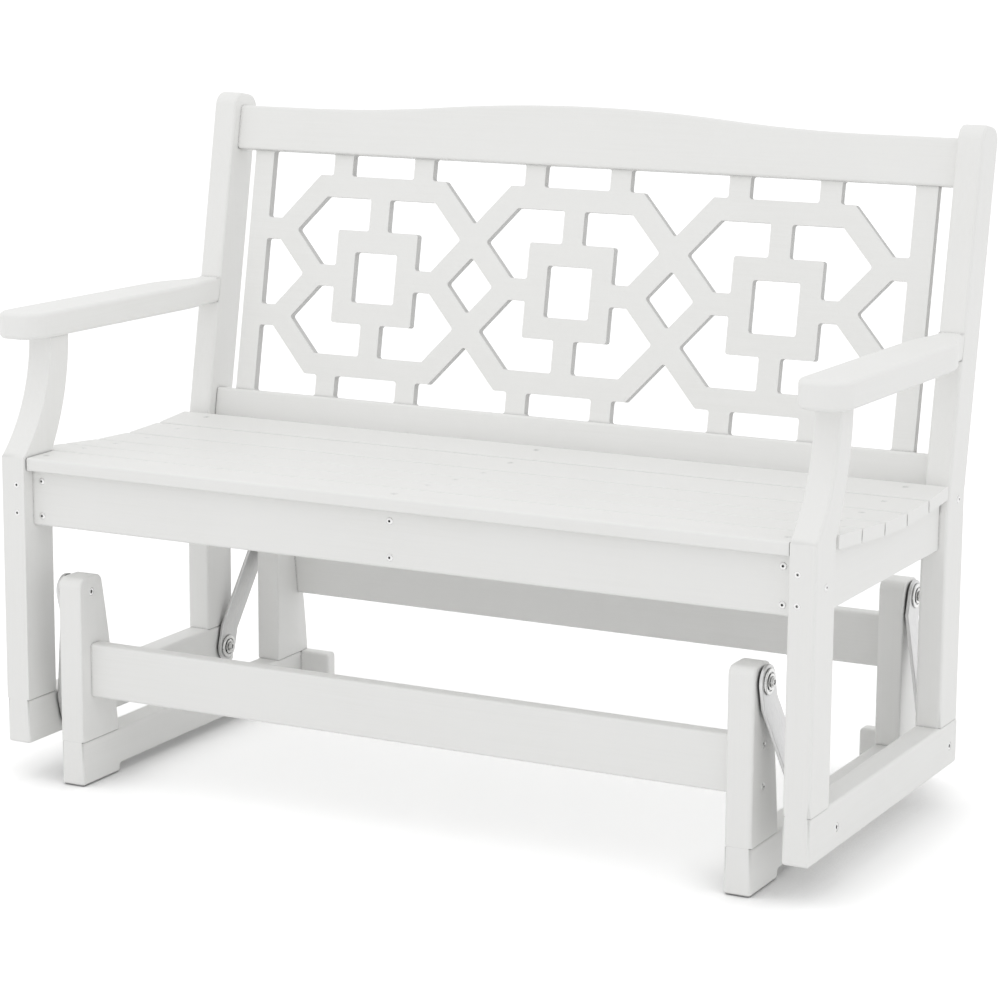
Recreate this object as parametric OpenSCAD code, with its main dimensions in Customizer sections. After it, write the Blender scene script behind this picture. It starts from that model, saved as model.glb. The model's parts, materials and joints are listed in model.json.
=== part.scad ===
// Glider bench: a slatted two-seat bench with a pierced fretwork back, which swings on four
// joggled links from a sled base. X is the width, the front faces -Y and the floor is z = 0.

/* [Boards] */
// Thickness of the legs, posts, rails, armrests and base members
board_t = 38; // [34:0.5:42]
// Thickness of the seat slats
slat_t = 19; // [16:0.5:22]
// Thickness of the apron, the rear seat rail and the base cross rails
cross_t = 25; // [20:0.5:30]
// Rounding along the edges of the straight boards
edge_r = 4; // [1:0.5:6]
// Clearance left between boards that are glued or screwed face to groove
fit_gap = 0.1; // [0.05:0.05:0.3]

/* [Bench frame] */
// Width over the outer faces of the legs
bench_w = 1250; // [1100:5:1500]
// Height of the bottom side rails
rail_h = 66; // [55:1:80]
// How far the bottom side rails run on behind the posts
rail_tail = 3.5; // [0:0.5:10]
// Depth of the front legs, front to back
leg_d = 69.5; // [60:0.5:76]
// Radius of the scooped front edge at the top of the front legs
leg_scoop_r = 227; // [215:1:240]
// Radius of the rounded rear edge at the top of the front legs
leg_back_r = 320; // [310:1:335]
// Depth of the front legs where they meet the armrests
leg_neck_d = 45; // [38:0.5:50]
// Distance of that neck behind the front of the legs
leg_neck_y = 74.5; // [72:0.5:78]
// Depth of the rear posts below the bend
post_d = 71; // [69:0.5:80]
// Depth of the rear posts above the bend, square to the rake
post_upper_d = 66; // [60:0.5:68]
// Height of the bend in the front edge of the rear posts, above the rail's underside
post_bend_h = 370; // [355:1:385]
// Length of the raked part of the rear posts
post_upper_l = 547; // [535:1:600]
// Rounding of the two top corners of the rear posts
post_top_r = 22; // [5:1:28]
// Rake of the back, from upright
rake = 10.5; // [8:0.5:13]

/* [Armrests] */
// Height of the armrest top at its front, above the rail's underside
arm_h = 630; // [622:1:660]
// Fall of the armrest towards the back, in degrees
arm_fall = 0.9; // [0:0.1:2]
// Distance of the armrest's front edge behind the front of the legs
arm_front = 5; // [0:1:15]
// Overhang of the armrest outside the legs
arm_out = 25.5; // [10:0.5:40]
// Overhang of the armrest inside the legs
arm_in = 11; // [5:0.5:25]
// Length over which the armrest narrows to the post
arm_waist_l = 112; // [80:1:150]
// Distance of the end of that narrowing behind the posts' front, below their bend
arm_waist_end = 40; // [30:1:50]
// Rounding of the armrest's front corners, seen from above
arm_corner_r = 28; // [5:1:34]

/* [Seat] */
// Height of the seat's front edge, above the rail's underside
seat_h = 424; // [410:1:440]
// Depth of the seat's hollow wave
seat_dip = 21; // [10:1:30]
// Half wave length of the seat's hollow, front to back
seat_wave = 352; // [320:1:400]
// Distance of the lowest point of the seat behind the front of the legs
seat_low_y = 338; // [300:1:360]
// Distance of the first gap between slats behind the rear face of the front legs
first_gap = 6.5; // [6:0.5:8]
// Spacing of the slats, centre to centre
slat_pitch = 84.5; // [80:0.5:90]
// Gap between neighbouring slats
slat_gap = 3.6; // [3:0.2:6]
// Spacing left for the last slat, which ends at the rear posts
last_slat_d = 78; // [65:1:90]
// Rounding along the slats' edges
slat_r = 3; // [1:0.5:5]
// Distance of the nose slat's front edge behind the front of the legs
nose_front = 5.5; // [2:0.5:12]
// Gap at the ends of the nose slat, and behind the last slat
end_gap = 1.5; // [0.5:0.5:2.5]
// Height of the apron below the nose slat, which the seat rails share
apron_h = 82; // [70:1:95]
// Distance of the apron behind the front of the legs
apron_set = 22.5; // [15:0.5:26]
// Distance of the side seat rails inside the legs' outer faces
side_rail_set = 12; // [6:0.5:18]
// Width of the bearers under the slats
bearer_w = 31; // [25:1:40]
// Height of the rear seat rail, which stands between the posts
rear_rail_h = 55; // [45:1:58]

/* [Back] */
// Distance of the lower back rail above the bend, along the rake
lower_rail_v = 17.5; // [15:0.5:40]
// Height of the lower back rail and of the crest rail's ends
back_rail_h = 68; // [60:1:75]
// Thickness of the back rails
back_rail_t = 31; // [26:0.5:38]
// Height of the opening between the back rails
back_open_h = 374; // [360:1:390]
// Rise of the crest rail at its centre
crest_rise = 21; // [0.5:0.5:35]
// Level length of the crest rail's top at each end
crest_end = 122; // [80:1:240]

/* [Fretwork panel] */
// Thickness of the fretwork panel
panel_t = 13.5; // [10:0.5:18]
// Open slit between the panel's sides and the rear posts
panel_slit = 29; // [20:1:40]
// Depth of the grooves that hold the panel
groove_d = 12; // [8:1:16]
// Width of the fretwork's bars
bar_w = 33; // [26:0.5:36]
// Distance of the outermost crossings from the panel's sides
panel_end = 64.5; // [56:0.5:74]
// Distance of a cell's top and bottom bars from the rails, at their centre lines
tie_drop = 49.5; // [40:0.5:56]
// Half spacing of the short uprights that hold a cell to the rails, as a share of the cells' spacing
stub_share = 0.213; // [0.19:0.001:0.228]
// Half width of a cell's centre frame at its centre line, as a share of the cells' spacing
frame_share = 0.161; // [0.145:0.001:0.175]
// Half height of a cell's centre frame, at its centre line
frame_v = 55; // [46:0.5:60]
// Distance from a cell's centre to its hubs, where the slanted bars meet, as a share of the spacing
hub_share = 0.316; // [0.3:0.001:0.334]
// Height of the crossings between two cells above the cell's centre
cross_v = 67.5; // [60:0.5:74]
// Half length of a cell's top and bottom bars, to the slanted bars, as a share of the cells' spacing
shoulder_share = 0.308; // [0.285:0.001:0.33]
// Rounding of the fretwork's corners
fret_r = 4; // [1:0.5:6]

/* [Base] */
// Length of the runners
runner_l = 646; // [630:2:700]
// Height of the runners
runner_h = 66; // [50:1:72]
// Distance of the runners behind the front of the bench's legs
runner_front = 13; // [5:1:25]
// Length of the pads under the runners' ends
pad_l = 96; // [70:1:130]
// Height of the arch under the runners, between the pads
arch_h = 12; // [6:1:20]
// Rounding where the arch meets the pads
arch_r = 5; // [2:0.5:5.5]
// Distance between the front and the rear uprights
upright_pitch = 550; // [540:1:550]
// Height of the uprights' tops above the floor
upright_h = 308.5; // [302:0.5:320]
// Depth of the uprights at their tops
upright_top_d = 54.5; // [50:0.5:60]
// Rounding of the uprights' top corners
upright_r = 13; // [6:0.5:18]
// Depth of the uprights where they stand on the runners
upright_foot_d = 94; // [80:1:96]
// Radius of the gently bowed rear edge of the uprights
upright_bow_r = 2300; // [1800:50:4000]
// Height of the front cross rail's underside above the floor
front_cross_z = 130; // [100:1:150]
// Height of the front cross rail
front_cross_h = 79; // [60:1:90]
// Distance of the front cross rail behind the uprights' front
front_cross_set = 24; // [15:0.5:28]
// Height of the rear cross rail's underside above the floor
rear_cross_z = 164; // [120:1:180]
// Height of the rear cross rail
rear_cross_h = 82; // [60:1:90]
// Thickness of the rear cross rail
rear_cross_t = 19; // [15:0.5:25]
// Lean of the rear cross rail, in degrees
rear_cross_lean = 8; // [0:0.5:10]
// Distance of the rear cross rail's lower front edge behind the uprights' front
rear_cross_set = 62; // [55:0.5:64]
// Width of the foot blocks inside the runners
foot_w = 50; // [30:1:70]
// Rounding of the foot blocks' top inner edges
foot_r = 6; // [2:0.5:10]

/* [Links] */
// Height of the upper pivots above the floor
pivot_z = 286; // [270:1:292]
// Distance of the upper pivots behind the uprights' front
pivot_in = 28.5; // [26:0.5:32]
// Length of the links between their pivots
link_l = 207; // [195:1:215]
// Lean of the links at rest, in degrees
link_lean = 15.7; // [12:0.1:18]
// Width of the links
link_w = 45; // [36:1:48]
// Thickness of the links
link_t = 5; // [4:0.5:6]
// Length of the straight ends of the links, from pivot to bend
link_bend = 31; // [26:1:45]
// Height of the lower pivots above the bench rails' underside
pivot_up = 30.5; // [26:0.5:36]
// Clearance between the base's uprights and the bench's legs, where the links hang
link_room = 47; // [42:0.5:60]
// Thickness of the spacers between the boards and the links
spacer_t = 3; // [2:0.5:4]
// Thickness of the washers under the lock nuts
washer_t = 1; // [0.8:0.1:1.6]
// Diameter of the spacers and the washers
washer_d = 22; // [21:0.5:24]
// Diameter of the bearings' flanges
flange_d = 28; // [26:0.5:30]
// Thickness of the bearings' flanges, outside the links
flange_t = 3; // [2:0.5:4]
// Rounding along the rims of the bearings' flanges
flange_r = 1; // [0.5:0.1:1.5]
// Diameter of the bearings inside the links
bearing_d = 24; // [22:0.5:25]
// Diameter of the pivot bolts
bolt_d = 6; // [5:0.5:6.5]
// Radial running clearance of the bearings on the bolts
run_gap = 0.05; // [0.03:0.01:0.08]
// Extra radius of the lower rear bearings, which lets the rear links follow the bench
float_r = 3.6; // [3.4:0.1:4]
// Play of the links along the bolts, at each side
end_play = 0.15; // [0.1:0.05:0.3]
// Width of the lock nuts across their flats
nut_af = 10; // [9:0.5:11]
// Height of the lock nuts
nut_h = 4; // [3:0.5:5]
// Length of the pivot bolts past the lock nuts
bolt_end = 0.7; // [0.3:0.1:1.5]
// Diameter of the pivot bolts' sunk heads
bolt_head_d = 12; // [10:0.5:14]
// Height of the pivot bolts' heads
bolt_head_h = 3.5; // [2.5:0.5:5]

/* [Screws] */
// Diameter of the screws' heads
head_d = 9; // [7:0.5:10]
// Height of the screws' heads, which lie flush
head_h = 2.5; // [2:0.5:4]
// Diameter of the screws' shanks
shank_d = 4.5; // [3.5:0.5:5.5]
// How far the screws reach into the second board
screw_bite = 32; // [20:1:36]
// How far the nose slat's screws reach into the apron, above the apron's own screws
nose_bite = 12; // [8:0.5:13]
// Distance of the slat screws behind the slats' front edges
screw_in = 52; // [30:1:60]
// Distance of the end screws of the lower back rail from the rail's lower edge
end_screw_v = 8.5; // [6:0.5:12]
// Distance of those screws from the rail's rear face
end_screw_n = 9; // [6:0.5:14]
// Distance from the posts to where the slanting screws enter the backs of the back rails
slant_in = 19; // [16:0.5:20]
// Angle of the slanting screws from the rails' rear faces
slant = 45; // [40:1:50]
// Depth of the slanting screws' heads in their pockets
slant_sink = 5; // [5:0.5:7]

/* [Hidden] */
$fn = 96;

white = "whitesmoke";
steel = "silver";
big = 4000;
eps = 0.01;
large_fn = 720;

// Places shared by the pieces, in the frame of the bench's front: y = 0 at the legs' front face.
leg_x = bench_w / 2;
leg_in_x = leg_x - board_t;
base_x = leg_in_x - link_room;
base_in_x = base_x - board_t;
y_mid = (runner_front + runner_l) / 2;
pivot_y = runner_front + pivot_in;
bench_z = pivot_z - link_l * cos(link_lean) - pivot_up;
low_pivot_y = pivot_y + link_l * sin(link_lean);
rear_low_pivot_y = pivot_y + upright_pitch - link_l * sin(link_lean);

// The seat: the slats lie on chords of a wave, between the centres of the gaps.
slat_count = 5;
first_gap_y = leg_d + first_gap;
post_y = first_gap_y + (slat_count - 1) * slat_pitch + last_slat_d;
seat_under = seat_h - slat_t - apron_h;
function wave(y) = seat_dip * (1 + cos(180 * (y - seat_low_y) / seat_wave)) / 2;
function seat_z(y) = seat_h + wave(first_gap_y) - wave(y);
function chord_y(i) = i < slat_count ? first_gap_y + i * slat_pitch : post_y;
function chord_point(i) = [chord_y(i), seat_z(chord_y(i))];
function chord_angle(i) =
    i < 1 ? 0
    : i > slat_count ? chord_angle(slat_count)
    : let (d = chord_point(i) - chord_point(i - 1)) atan2(d.y, d.x);
function under_point(i) =
    let (a = chord_angle(i), b = chord_angle(i + 1), m = (a + b) / 2)
    chord_point(i) + (slat_t + eps) / cos((a - b) / 2) * [sin(m), -cos(m)];
function under_z(y) =
    let (p = under_point(slat_count), a = chord_angle(slat_count)) p.y + (y - p.x) * tan(a);

// The middle planes of the side seat rails and of the outer bearers, which meet at leg_in_x
side_rail_x = leg_in_x + (board_t - side_rail_set) / 2;
bearer_x = leg_in_x - bearer_w / 2;

// Pairs of screws, as shares of a board's height or depth
wide_pair = [0.15, 0.85];
even_pair = [0.25, 0.75];
apron_pair = [0.18, 0.8];
low_pair = [0.2, 0.6];
low_share = 0.3;
bearer_shares = [0.2, 0.5, 0.8];
// The end screws of the lower back rail stop short of the panel in its groove.
end_bite = panel_slit - shank_d / 2;
slant_l = screw_bite + slant_in / sin(slant) - slant_sink;

// The back: u runs across, v along the rake from the bend, n square to it towards the rear.
rail_n = (post_upper_d - back_rail_t) / 2;
panel_n = (post_upper_d - panel_t) / 2;
crest_v = lower_rail_v + back_rail_h + back_open_h;
panel_x = leg_in_x - panel_slit;

// The stack of pieces along a pivot, from the board's face outwards
link_x0 = spacer_t + end_play;
flange_x1 = link_x0 + link_t + flange_t;
nut_x0 = flange_x1 + end_play + washer_t;
stack_l = nut_x0 + nut_h;
nut_hex_share = 0.7;
nut_collar_share = 0.86;

// Moves the pieces from the bench's front frame to the part's own frame.
module to_part() translate([0, -y_mid, 0]) children();
module to_bench() translate([0, -y_mid, bench_z]) children();
module to_rake() translate([0, post_y, post_bend_h]) rotate([-rake, 0, 0]) children();
module left() mirror([1, 0, 0]) children();

// Extrudes a profile drawn in Y and Z along X, from x to x + t.
module along_x(x, t) translate([x, 0, 0]) rotate([90, 0, 90]) linear_extrude(t) children();

// A rectangle with rounded corners.
module soft_square(size, r) {
    translate([r, 0]) square([size.x - 2 * r, size.y]);
    translate([0, r]) square([size.x, size.y - 2 * r]);
    for (x = [r, size.x - r], y = [r, size.y - r]) translate([x, y]) circle(r);
}

// A board of length l along X and section d by h in Y and Z, with rounded long edges.
module board_x(l, d, h, r) along_x(-l / 2, l) soft_square([d, h], r);

// The height of a reverse curve of two equal arcs that falls from h to nothing over the length l.
function curve_r(l, h) = (l * l + h * h) / (4 * h);
function curve_z(u, l, h) =
    let (r = curve_r(l, h), far = u > l / 2, w = far ? l - u : u, drop = r - sqrt(r * r - w * w))
    far ? drop : h - drop;

// Points of an arc from angle a0 to a1
arc_steps = 12;
function arc_points(centre, r, a0, a1) = [
    for (k = [0 : arc_steps]) let (a = a0 + (a1 - a0) * k / arc_steps) centre + r * [cos(a), sin(a)]
];

// Fasteners: the axis is Z, the head's top lies at the origin and the shank points down.
module screw(l, grow = 0) {
    translate([0, 0, -head_h - grow]) cylinder(h = head_h + 2 * grow, r = head_d / 2 + grow);
    translate([0, 0, -l - grow]) cylinder(h = l, r = shank_d / 2 + grow);
}
// A screw that slants in through the back of a rail, with its head down in a pocket
module slant_screw(grow = 0) {
    translate([0, 0, -slant_sink]) screw(slant_l, grow);
    if (grow > 0) translate([0, 0, -slant_sink]) cylinder(h = 2 * slant_sink, r = head_d / 2 + grow);
}
module ring(d, hole, h) difference() {
    cylinder(h = h, d = d);
    translate([0, 0, -eps]) cylinder(h = h + 2 * eps, d = hole);
}

// The four pivots on one level: front and rear, right and left, with Z pointing along X outwards.
module at_pivots(ys, z, x) for (y = ys, side = [0, 1])
    mirror([side, 0, 0]) translate([x, y, z]) rotate([0, 90, 0]) children();
module at_upper_pivots() at_pivots([pivot_y, pivot_y + upright_pitch], pivot_z, base_x) children();
module at_lower_pivots() at_pivots([low_pivot_y, rear_low_pivot_y], pivot_up, leg_in_x)
    mirror([0, 0, 1]) children();

// A bolt with its head sunk in the far face of the board
module pivot_bolt() {
    translate([0, 0, -board_t]) cylinder(h = bolt_head_h, d = bolt_head_d);
    translate([0, 0, bolt_head_h - board_t - eps])
        cylinder(h = board_t - bolt_head_h + eps + stack_l + bolt_end, d = bolt_d);
}
module pivot_washers() {
    ring(washer_d, bolt_d + 2 * fit_gap, spacer_t);
    translate([0, 0, flange_x1 + end_play]) ring(washer_d, bolt_d + 2 * fit_gap, washer_t);
}
module lock_nut() translate([0, 0, nut_x0]) difference() {
    union() {
        cylinder(h = nut_h * nut_hex_share, d = nut_af / cos(30), $fn = 6);
        cylinder(h = nut_h, d = nut_af * nut_collar_share);
    }
    translate([0, 0, -eps]) cylinder(h = nut_h + 2 * eps, d = bolt_d + 2 * fit_gap);
}
// The bores through a board for the pivot bolts and their heads
module pivot_bores() translate([0, 0, -board_t - eps]) {
    cylinder(h = board_t + 2 * eps, d = bolt_d + 2 * fit_gap);
    cylinder(h = bolt_head_h + fit_gap + eps, d = bolt_head_d + 2 * fit_gap);
}

// Base
module runner() color(white) difference() {
    translate([0, runner_front, 0]) along_x(base_in_x, board_t) difference() {
        square([runner_l, runner_h]);
        translate([pad_l, -arch_r]) soft_square([runner_l - 2 * pad_l, arch_h + arch_r], arch_r);
    }
    base_screws_right(fit_gap);
}
// The uprights have a plumb front, a bowed rear edge and a level top with rounded corners.
module upright_profile() {
    top = [upright_top_d, upright_h];
    foot = [upright_foot_d, runner_h];
    half = (top - foot) / 2;
    reach = sqrt(upright_bow_r * upright_bow_r - half * half);
    centre = (top + foot) / 2 - reach * [half.y, -half.x] / norm(half);
    corner_z = upright_h - upright_r;
    rise = corner_z - centre.y;
    inner_r = upright_bow_r - upright_r;
    corner_y = centre.x + sqrt(inner_r * inner_r - rise * rise);
    tangent_z = corner_z + upright_r * rise / inner_r;
    for (y = [upright_r, corner_y]) translate([y, corner_z]) circle(upright_r);
    translate([upright_r, runner_h]) square([corner_y - upright_r, upright_h - runner_h]);
    intersection() {
        translate(centre) circle(upright_bow_r, $fn = 4 * large_fn);
        union() {
            translate([0, runner_h]) square([2 * upright_foot_d, corner_z - runner_h]);
            translate([upright_r, runner_h]) square([2 * upright_foot_d, tangent_z - runner_h]);
        }
    }
}
module upright(y) color(white) difference() {
    translate([0, runner_front + y, 0]) along_x(base_in_x, board_t) upright_profile();
    at_upper_pivots() pivot_bores();
    base_screws_right(fit_gap);
}
module front_cross_rail() color(white) difference() {
    translate([0, runner_front + front_cross_set, front_cross_z])
        board_x(2 * base_in_x, cross_t, front_cross_h, edge_r);
    base_screws(fit_gap);
}
module at_rear_cross() translate([0, runner_front + upright_pitch + rear_cross_set, rear_cross_z])
    rotate([rear_cross_lean, 0, 0]) children();
module rear_cross_rail() color(white) difference() {
    at_rear_cross() board_x(2 * base_in_x, rear_cross_t, rear_cross_h, edge_r);
    base_screws(fit_gap);
}
module foot_block() color(white) difference() {
    translate([base_in_x - foot_w, runner_front + runner_l, 0]) rotate([90, 0, 0]) linear_extrude(cross_t) {
        square([foot_w, runner_h - foot_r]);
        translate([foot_r, 0]) square([foot_w - foot_r, runner_h]);
        translate([foot_r, runner_h - foot_r]) circle(foot_r);
    }
    base_screws_right(fit_gap);
}
module base_screws_right(grow = 0) {
    // Through the uprights into the ends of the cross rails
    translate([base_x, runner_front + front_cross_set + cross_t / 2, front_cross_z])
        for (v = wide_pair) translate([0, 0, v * front_cross_h])
            rotate([0, 90, 0]) screw(board_t + screw_bite, grow);
    at_rear_cross() for (v = wide_pair) translate([base_x, rear_cross_t / 2, v * rear_cross_h])
        rotate([0, 90, 0]) screw(board_t + screw_bite, grow);
    // Up through the runners into the uprights
    for (y = [0, upright_pitch], w = even_pair)
        translate([base_x - board_t / 2, runner_front + y + w * upright_foot_d, 0])
            rotate([180, 0, 0]) screw(runner_h + screw_bite, grow);
    // Through the foot blocks into the runners
    translate([base_in_x - foot_w, runner_front + runner_l - cross_t / 2, low_share * runner_h])
        rotate([0, -90, 0]) screw(foot_w + board_t / 2, grow);
}
module base_screws(grow = 0) color(steel) {
    base_screws_right(grow);
    left() base_screws_right(grow);
}

// Links: drawn at the right side, with Z up along the link from the upper pivot at the origin.
link_jog = leg_in_x - base_x - 2 * link_x0 - link_t;
module link_plate() color(steel) difference() {
    mitre = link_t / 2 * tan(atan2(link_jog, link_l - 2 * link_bend) / 2);
    end = link_w / 2;
    intersection() {
        rotate([90, 0, 0]) linear_extrude(link_w, center = true) polygon([
            [0, end],
            [0, -link_bend - mitre],
            [link_jog, -link_l + link_bend - mitre],
            [link_jog, -link_l - end],
            [link_jog + link_t, -link_l - end],
            [link_jog + link_t, -link_l + link_bend + mitre],
            [link_t, -link_bend + mitre],
            [link_t, end],
        ]);
        along_x(-link_t, link_jog + 3 * link_t) {
            translate([-end, -link_l]) square([link_w, link_l]);
            circle(end);
            translate([0, -link_l]) circle(end);
        }
    }
    for (z = [0, -link_l]) translate([-link_t, 0, z]) rotate([0, 90, 0])
        cylinder(h = link_jog + 3 * link_t, d = bearing_d + 2 * fit_gap);
}
// A flanged bearing in the link, with its flange on the link's face; the axis is Z.
module bearing(bore) color(steel) difference() {
    union() {
        cylinder(h = link_t, d = bearing_d);
        translate([0, 0, link_t]) rotate_extrude() {
            square([flange_d / 2 - flange_r, flange_t]);
            square([flange_d / 2, flange_t - flange_r]);
            translate([flange_d / 2 - flange_r, flange_t - flange_r]) circle(flange_r);
        }
    }
    translate([0, 0, -eps]) cylinder(h = link_t + flange_t + 2 * eps, r = bore);
}
// Puts a link at its upper pivot: front links lean back towards their feet, rear links forward.
module at_link(rear) translate([base_x + link_x0, pivot_y + (rear ? upright_pitch : 0), pivot_z])
    rotate([rear ? -link_lean : link_lean, 0, 0]) children();
module link_bearings(rear) {
    rotate([0, 90, 0]) bearing(bolt_d / 2 + run_gap);
    translate([link_jog + link_t, 0, -link_l]) rotate([0, -90, 0])
        bearing(bolt_d / 2 + (rear ? float_r : run_gap));
}

// Bench frame
module bottom_rail() color(white) difference() {
    along_x(leg_in_x, board_t) square([post_y + post_d + rail_tail, rail_h]);
    at_lower_pivots() pivot_bores();
    frame_screws_right(fit_gap);
}
// The area above the armrests' undersides, in Y and Z
module above_arm_underside() translate([0, arm_h]) rotate(-arm_fall) translate([-big / 2, -board_t])
    square([big, big]);
module front_leg_profile() {
    neck_z = arm_h - board_t;
    difference() {
        intersection() {
            translate([0, rail_h]) square([big, arm_h - rail_h]);
            union() {
                square([leg_d, neck_z - leg_scoop_r / 2]);
                translate([leg_neck_y + leg_neck_d - leg_back_r, neck_z])
                    circle(leg_back_r, $fn = large_fn);
            }
        }
        // The rear edge is straight up to the top of the side seat rail.
        translate([leg_d, 0]) square([big, seat_h - slat_t]);
        translate([leg_neck_y - leg_scoop_r, neck_z]) circle(leg_scoop_r, $fn = large_fn);
        above_arm_underside();
    }
}
module front_leg() color(white) difference() {
    along_x(leg_in_x, board_t) front_leg_profile();
    frame_screws_right(fit_gap);
}
module rear_post_profile() {
    v = (post_d - post_upper_d * cos(rake)) / sin(rake);
    bend_rear_z = post_bend_h - post_upper_d * sin(rake) + v * cos(rake);
    polygon([
        [post_y, rail_h],
        [post_y + post_d, rail_h],
        [post_y + post_d, bend_rear_z],
        [post_y, post_bend_h],
    ]);
    translate([post_y, post_bend_h]) rotate(-rake) difference() {
        soft_square([post_upper_d, post_upper_l], post_top_r);
        translate([-eps, -eps]) square(post_top_r + eps);
    }
    translate([post_y, post_bend_h]) rotate(-rake) square([post_upper_d, 2 * post_top_r]);
}
module rear_post() color(white) difference() {
    along_x(leg_in_x, board_t) rear_post_profile();
    frame_screws_right(fit_gap);
}
arm_steps = 24;
module armrest_outline() {
    low = [leg_in_x - arm_in, arm_front];
    high_x = leg_x + arm_out;
    waist_y = post_y + arm_waist_end - arm_waist_l;
    end_y = post_y + arm_waist_end + post_d;
    curve = [for (k = [0 : arm_steps]) k * arm_waist_l / arm_steps];
    polygon(concat(
        arc_points(low + [1, 1] * arm_corner_r, arm_corner_r, 180, 270),
        arc_points([high_x, low.y] + [-1, 1] * arm_corner_r, arm_corner_r, 270, 360),
        [for (u = curve) [leg_x + curve_z(u, arm_waist_l, arm_out), waist_y + u]],
        [[leg_x, end_y], [leg_in_x, end_y]],
        [for (k = [arm_steps : -1 : 0]) let (u = curve[k])
            [leg_in_x - curve_z(u, arm_waist_l, arm_in), waist_y + u]]
    ));
}
module armrest() color(white) difference() {
    translate([0, 0, arm_h]) rotate([-arm_fall, 0, 0]) translate([0, 0, -board_t])
        linear_extrude(board_t) armrest_outline();
    to_rake() translate([0, 0, -big / 2]) cube([big, big, big]);
}
module front_apron() color(white) difference() {
    translate([0, apron_set, seat_under]) board_x(2 * leg_in_x, cross_t, apron_h, edge_r);
    frame_screws(fit_gap);
    nose_screws(fit_gap);
}
// The profile of a seat rail or bearer from y0 to y1, with its top cut to the slats' undersides
module seat_rail_profile(y0, y1) intersection() {
    polygon(concat(
        [[post_y, seat_under], [0, seat_under], [0, seat_h - slat_t - eps]],
        [for (i = [0 : slat_count - 1]) under_point(i)],
        [[post_y, under_z(post_y)]]
    ));
    translate([y0, 0]) square([y1 - y0, big]);
}
module side_seat_rail() color(white) difference() {
    along_x(leg_in_x, board_t - side_rail_set) seat_rail_profile(leg_d, post_y);
    frame_screws_right(fit_gap);
}
module seat_bearer(x) color(white) difference() {
    along_x(x - bearer_w / 2, bearer_w) seat_rail_profile(apron_set + cross_t, post_y);
    slat_screws(fit_gap);
    frame_screws(fit_gap);
}
module rear_seat_rail() color(white) difference() {
    translate([0, post_y, seat_under]) board_x(2 * leg_in_x, cross_t, rear_rail_h, edge_r);
    frame_screws(fit_gap);
}

// Seat slats
module nose_slat() color(white) difference() {
    w = first_gap_y - slat_gap / 2 - nose_front;
    translate([0, nose_front, seat_h - slat_t]) board_x(2 * (leg_in_x - end_gap), w, slat_t, slat_r);
    nose_screws(fit_gap);
}
module at_slat(i) translate([0, chord_y(i - 1), seat_z(chord_y(i - 1))])
    rotate([chord_angle(i), 0, 0]) children();
function rear_gap(i) = i < slat_count ? slat_gap / 2 : end_gap;
function slat_l(i) = norm(chord_point(i) - chord_point(i - 1)) - slat_gap / 2 - rear_gap(i);
module seat_slat(i) color(white) difference() {
    at_slat(i) translate([0, slat_gap / 2, -slat_t]) board_x(bench_w, slat_l(i), slat_t, slat_r);
    slat_screws_of(i, fit_gap);
}
module slat_screws_of(i, grow = 0) at_slat(i) for (x = [-1, 0, 1] * bearer_x)
    translate([x, slat_gap / 2 + screw_in, 0]) screw(slat_t + screw_bite, grow);
module nose_screws(grow = 0) for (x = [-1, 0, 1] * bearer_x)
    translate([x, apron_set + cross_t / 2, seat_h]) screw(slat_t + nose_bite, grow);
module slat_screws(grow = 0) color(steel) {
    nose_screws(grow);
    for (i = [1 : slat_count]) slat_screws_of(i, grow);
}

// Back
module at_back_rail(v) to_rake() translate([0, rail_n, v]) children();
module panel_groove(grow) to_rake()
    translate([-panel_x - grow, panel_n - grow, lower_rail_v + back_rail_h - groove_d - grow])
        cube([2 * (panel_x + grow), panel_t + 2 * grow, back_open_h + 2 * (groove_d + grow)]);
module lower_back_rail() color(white) difference() {
    at_back_rail(lower_rail_v) board_x(2 * leg_in_x, back_rail_t, back_rail_h, edge_r);
    panel_groove(fit_gap);
    frame_screws(fit_gap);
}
crest_steps = 24;
crest_half = leg_in_x - crest_end;
module crest_outline() polygon(concat(
    [[leg_in_x, back_rail_h], [leg_in_x, 0], [-leg_in_x, 0], [-leg_in_x, back_rail_h]],
    [for (k = [-crest_steps : crest_steps]) let (u = k * crest_half / crest_steps)
        [u, back_rail_h + curve_z(abs(u), crest_half, crest_rise)]]
));
module crest_rail() color(white) difference() {
    at_back_rail(crest_v) translate([0, back_rail_t, 0]) rotate([90, 0, 0])
        linear_extrude(back_rail_t) crest_outline();
    panel_groove(fit_gap);
    frame_screws(fit_gap);
}

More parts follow.
